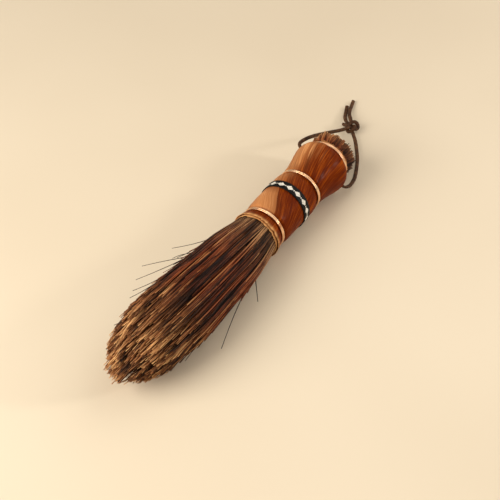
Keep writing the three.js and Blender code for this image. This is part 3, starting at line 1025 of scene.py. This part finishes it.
def add_packed_middle():
    """The mass of packed fibres that shows between the outer locks, near black as painted shade in the
    gaps.
    """
    rng = np.random.default_rng(6)
    rows, columns = 60, 96
    share = np.linspace(0, 1, rows)[:, None]
    x = MOUTH_X + (HEAD_TIP + 13 - MOUTH_X) * share
    turn = 2 * np.pi * np.linspace(0, 1, columns + 1)[None, :-1]
    ribs = stretched_noise(rng, rows, columns + 1, 8, 40)[:, :-1]
    radius = 0.8 * head_radius(x) * (1 - 0.55 * share**7) * (1 + 0.05 * ribs)
    points = stacked(x, core_y(x) + radius * np.cos(turn), core_z(x) + radius * np.sin(turn))
    points[..., 2] = np.maximum(points[..., 2], 0.6)
    faces = grid_faces(rows, columns)[:, ::-1].tolist()
    faces.append(list(range(columns)))
    faces.append(list(range(columns * (rows - 1), columns * rows))[::-1])
    piece = add_piece("fibres_packed", points.reshape(-1, 3), faces, PAINTED_SHADE_FIBRE)
    bend_with_head(piece)


add_bristles()
add_packed_middle()

# ---- Stray fibres beside the head ----
# (start x, start, end x, end, side): distances are from the head's line, and the side is 1 for the left
# of the view and -1 for the right.
STRAYS = [
    (-37, 20, -68, 34, 1), (-47, 22, -70, 27, 1), (-62, 23, -93, 39, 1), (-58, 22, -104, 35, 1),
    (-76, 23, -112, 31, 1), (-86, 24, -117, 29, 1), (-110, 22, -127, 25, 1), (-130, 18, -140, 23, 1),
    (-34, 18, -50, 33, -1), (-47, 21, -98, 37, -1), (-57, 23, -71, 29, 1),
]
STRAY_RINGS = 14
STRAY_RADIUS = 0.36
STRAY_REACH = 0.35  # they are coloured like the middle of the head


def stray_line(rng, stray, left, back):
    """Centre line of one stray fibre, slightly bowed."""
    start_x, start, end_x, end, side = stray
    share = np.linspace(0, 1, STRAY_RINGS)
    x = start_x + (end_x - start_x) * share
    away = (start + (end - start) * share**1.15) * side
    bow = np.sin(share * np.pi) * rng.uniform(-1.2, 1.2)
    offsets = left * (away + bow)[:, None] + back * rng.uniform(-3, 3)
    line = stacked(x, core_y(x) + offsets[:, 1], core_z(x) + offsets[:, 2])
    line[:, 2] = np.maximum(line[:, 2], 0.4)
    return line


def add_strays():
    rng = np.random.default_rng(8)
    back = np.array(view_axes(CAMERA_AZIMUTH, CAMERA_ELEVATION)[2])
    left = unit(np.cross(back, ALONG))
    lines = np.array([stray_line(rng, stray, left, back) for stray in STRAYS])
    radii = np.full(lines.shape[:2], STRAY_RADIUS) * (1 - 0.4 * np.linspace(0, 1, STRAY_RINGS))
    points, faces = tubes(lines, radii, FIBRE_SIDES, UP)
    tone = np.repeat(rng.uniform(0.0, 0.08, len(lines)), STRAY_RINGS * FIBRE_SIDES)
    values = {"tone": tone, "reach": np.full_like(tone, STRAY_REACH)}
    piece = add_piece("fibres_stray", points, faces, BRISTLE, values)
    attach(piece, "bristles")


add_strays()

# ---- Roots: the fibres inside the bark, and their cut ends behind it ----
ROOT_FIBRES = 2300
ROOT_TUFTS = 300
ROOT_RINGS = 18
ROOT_START_X = MOUTH_X + 0.4
BUTT_FLARE = 0.1  # how much the cut ends spread past the bark
# The side of the butt that faces the key lamp: the cut ends are painted lighter there, as painted light,
# and flare out that way.
LIT_SIDE = np.array([math.cos(math.radians(29)), math.sin(math.radians(29))])


def root_outline():
    """(x, radius) of the bundle in the bark, and of the dome of cut ends behind it."""
    rings = [ring for ring in rings_of("root_core", 60) if ring[0, 0] > SHEATH_START - 1]
    xs = [ring[:, 0].mean() for ring in rings]
    sizes = [off_axis(ring).mean() for ring in rings]
    return np.array(xs), (np.array(sizes) + CORE_GAP) / CORE_SHARE


def root_lines(rng, disc, tufts, tuft_of):
    """Centre lines of the roots, and how far each of their points is behind the bark, from 0 to 1."""
    xs, sizes = root_outline()
    widest = int(np.argmax(np.where(xs > SHEATH_END, sizes, 0)))
    tip = cad_points("root_core")[:, 0].max()
    dome_sizes, dome_xs = np.append(sizes[widest:], 0.0), np.append(xs[widest:], tip)
    size = np.linalg.norm(disc, axis=1) * sizes[widest]
    ends = np.interp(size, dome_sizes[::-1], dome_xs[::-1]) + rng.normal(0, 0.5, ROOT_FIBRES)
    ends = ends + rng.normal(0, 0.35, ROOT_TUFTS)[tuft_of]
    x = ROOT_START_X + (ends[:, None] - ROOT_START_X) * np.linspace(0, 1, ROOT_RINGS)[None] ** 0.7
    radius_at = smooth_curve([*xs[: widest + 1], tip + 3], [*sizes[: widest + 1], sizes[widest]])
    out = rise(x, SHEATH_END - 3, tip - SHEATH_END)[..., None]
    lean = rng.normal(0, 0.045, (ROOT_FIBRES, 1, 2))
    lean = lean + rng.normal(0, 0.02, (ROOT_TUFTS, 1, 2))[tuft_of]
    spread = disc[:, None] * 0.97 + 0.2 * out * (tufts[tuft_of] - disc)[:, None] + lean * out
    flare = 1 + BUTT_FLARE * out * np.clip(disc @ LIT_SIDE, 0, 1)[:, None, None]
    offsets = spread * radius_at(x)[..., None] * flare
    return stacked(x, offsets[..., 0], AXIS_HEIGHT + offsets[..., 1]), out[..., 0]


def add_roots():
    rng = np.random.default_rng(9)
    disc = spread_centres(rng, ROOT_FIBRES, 0.0)
    tufts = spread_centres(rng, ROOT_TUFTS, 0.0)
    tuft_of = nearest(disc, tufts)
    lines, out = root_lines(rng, disc, tufts, tuft_of)
    radii = rng.uniform(0.3, 0.46, (ROOT_FIBRES, 1)) * (1 - 0.15 * out)
    # Painted light: cut ends on the lit side of the butt are painted paler.
    tone = 0.36 + 0.34 * (disc @ LIT_SIDE) + rng.normal(0, 0.18, ROOT_FIBRES)
    tone = np.clip(tone + rng.normal(0, 0.08, ROOT_TUFTS)[tuft_of], LOWEST_TONE, 1)
    for node, mine in hanks("root", disc):
        points, faces = tubes(lines[mine], radii[mine], FIBRE_SIDES, UP)
        values = {
            "tone": np.repeat(tone[mine], ROOT_RINGS * FIBRE_SIDES),
            "reach": np.repeat(0.4 + 0.5 * out[mine].ravel(), FIBRE_SIDES),
        }
        piece = add_piece(node.replace("root", "roots"), points, faces, BRISTLE, values)
        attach(piece, "handle")
        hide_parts(node)


add_roots()

# ---- CAD nodes that stay ----
KEPT = {"inner_tie_front": TWINE, "inner_tie_rear": TWINE, "cord_through": LACE}
for node, material in KEPT.items():
    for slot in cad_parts[node].material_slots:
        slot.link = "OBJECT"  # so that the CAD mesh is left alone
        slot.material = material

# ---- Floor and light ----
FLOOR_HALF = 6.0
WARM_WHITE = (1.0, 0.93, 0.84)


def add_floor():
    mesh = bpy.data.meshes.new("floor")
    corners = [(x * FLOOR_HALF, y * FLOOR_HALF, 0) for x, y in ((-1, -1), (1, -1), (1, 1), (-1, 1))]
    mesh.from_pydata(corners, [], [(0, 1, 2, 3)])
    mesh.materials.append(floor_material())
    floor = new_object("floor", mesh)


def add_light(name, offset, size, power, colour):
    """A square lamp at an offset from the front wire, turned towards it."""
    light = bpy.data.lights.new(name, "AREA")
    light.size = size
    light.energy = power
    light.color = colour
    lamp = new_object(name, light)
    lamp.location = WIRE_CENTRE + offset
    lamp.rotation_euler = offset.to_track_quat("Z", "Y").to_euler()


def add_lights():
    """A soft key from the left, a softer fill from the right, and a small glint for the wires."""
    right, up, back = view_axes(CAMERA_AZIMUTH, CAMERA_ELEVATION)
    away = Vector((up.x, up.y, 0.0)).normalized()
    key = right * -0.75 - away * 0.4 + Vector((0, 0, 0.62))
    fill = right * 0.8 + away * 0.5 + Vector((0, 0, 0.9))
    glint = right * 0.8 + back * 0.35 + up * 0.2
    add_light("key", key, size=0.75, power=11.3, colour=(1.0, 0.95, 0.87))
    add_light("fill", fill, size=1.4, power=6.5, colour=WARM_WHITE)
    add_light("glint", glint, size=0.12, power=2.2, colour=(1.0, 0.97, 0.93))


def add_world():
    world = bpy.data.worlds.new("world")
    world.use_nodes = True
    background = world.node_tree.nodes["Background"]
    background.inputs["Color"].default_value = (*WARM_WHITE, 1.0)
    background.inputs["Strength"].default_value = 0.34
    bpy.context.scene.world = world


bpy.context.scene.view_settings.view_transform = "Standard"
add_floor()
add_world()
add_lights()
